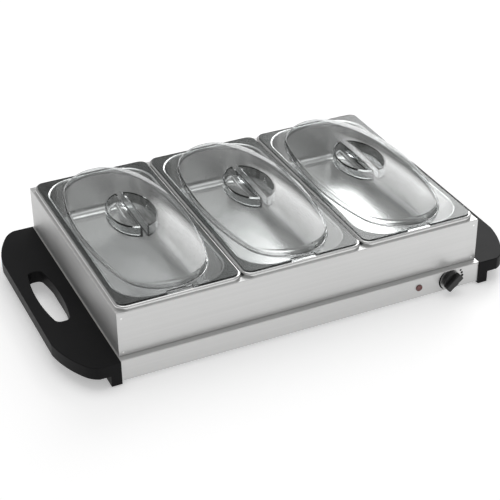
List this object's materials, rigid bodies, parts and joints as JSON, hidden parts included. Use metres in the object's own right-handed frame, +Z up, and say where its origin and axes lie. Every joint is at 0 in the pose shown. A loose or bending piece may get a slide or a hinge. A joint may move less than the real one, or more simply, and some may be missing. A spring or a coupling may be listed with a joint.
{
  "type": "electric buffet server",
  "caption": "Electric buffet server: steel pans with clear domed lids in a lift-off steel frame, on a flat warming tray with black carrying handles and a control knob.",
  "frame": {"origin": "on the table, under the middle of the whole object's box", "axes": "+X along the row of pans to the right as seen from the knob's side, -Y towards the user, +Z up"},
  "size_m": [0.647, 0.374, 0.134],
  "materials": {
    "brushed_steel": "brushed",
    "pan_steel": "satin",
    "hidden_steel": "plain",
    "aluminium_sheet": "plain",
    "clear_lid": "clear, polished",
    "black_handle": "satin moulded",
    "black_knob": "satin moulded",
    "black_rubber": "matt",
    "element_sheath": "heat-dulled",
    "ceramic": "glazed",
    "moulded_case": "moulded",
    "red_lens": "clear red",
    "brass_tab": "plain",
    "silicone_white": "insulated wire",
    "silicone_green": "insulated wire",
    "screw_steel": "plated"
  },
  "bodies": {
    "tray": {"hot_plate": "brushed_steel", "left_end_plate": "hidden_steel", "right_end_plate": "hidden_steel", "bottom_cover": "hidden_steel", "element_clamps": "hidden_steel", "reflector_posts": "hidden_steel", "left_handle": "black_handle", "right_handle": "black_handle", "cord_gland": "black_rubber", "rubber_feet": "black_rubber", "heating_element": "element_sheath", "element_terminals": "ceramic", "heat_reflector": "aluminium_sheet", "reflector_screws": "screw_steel", "bottom_cover_screws": "screw_steel", "handle_screws": "screw_steel", "thermostat_body": "moulded_case", "thermostat_nut": "screw_steel", "thermostat_terminals": "brass_tab", "thermal_fuse": "brass_tab", "terminal_block": "ceramic", "earth_stud": "screw_steel", "pilot_lamp_lens": "red_lens", "pilot_lamp_body": "moulded_case", "pilot_lamp_clip": "screw_steel", "live_lead": "silicone_white", "switched_lead": "silicone_white", "neutral_lead": "silicone_white", "lamp_leads": "silicone_white", "earth_lead": "silicone_green"},
    "knob": {"control_knob": "black_knob", "thermostat_shaft": "screw_steel"},
    "frame": {"frame_front_panel": "brushed_steel", "frame_back_panel": "brushed_steel", "frame_left_panel": "brushed_steel", "frame_right_panel": "brushed_steel", "divider_bars": "hidden_steel"},
    "left_pan": {"left_pan": "pan_steel"},
    "left_lid": {"left_lid": "clear_lid"},
    "middle_pan": {"middle_pan": "pan_steel"},
    "middle_lid": {"middle_lid": "clear_lid"},
    "right_pan": {"right_pan": "pan_steel"},
    "right_lid": {"right_lid": "clear_lid"}
  },
  "joints": [
    {"name": "knob_turn", "type": "hinge", "parent": "tray", "child": "knob", "pos_m": [0.2138, -0.1745, 0.0198], "axis": [0, 1, 0], "range_deg": [0, 300]},
    {"name": "frame_lift", "type": "slide", "parent": "tray", "child": "frame", "axis": [0, 0, 1], "range_m": [0, 0.12]},
    {"name": "left_pan_lift", "type": "slide", "parent": "frame", "child": "left_pan", "axis": [0, 0, 1], "range_m": [0, 0.1]},
    {"name": "left_lid_lift", "type": "slide", "parent": "left_pan", "child": "left_lid", "axis": [0, 0, 1], "range_m": [0, 0.08]},
    {"name": "middle_pan_lift", "type": "slide", "parent": "frame", "child": "middle_pan", "axis": [0, 0, 1], "range_m": [0, 0.1]},
    {"name": "middle_lid_lift", "type": "slide", "parent": "middle_pan", "child": "middle_lid", "axis": [0, 0, 1], "range_m": [0, 0.08]},
    {"name": "right_pan_lift", "type": "slide", "parent": "frame", "child": "right_pan", "axis": [0, 0, 1], "range_m": [0, 0.1]},
    {"name": "right_lid_lift", "type": "slide", "parent": "right_pan", "child": "right_lid", "axis": [0, 0, 1], "range_m": [0, 0.08]}
  ]
}
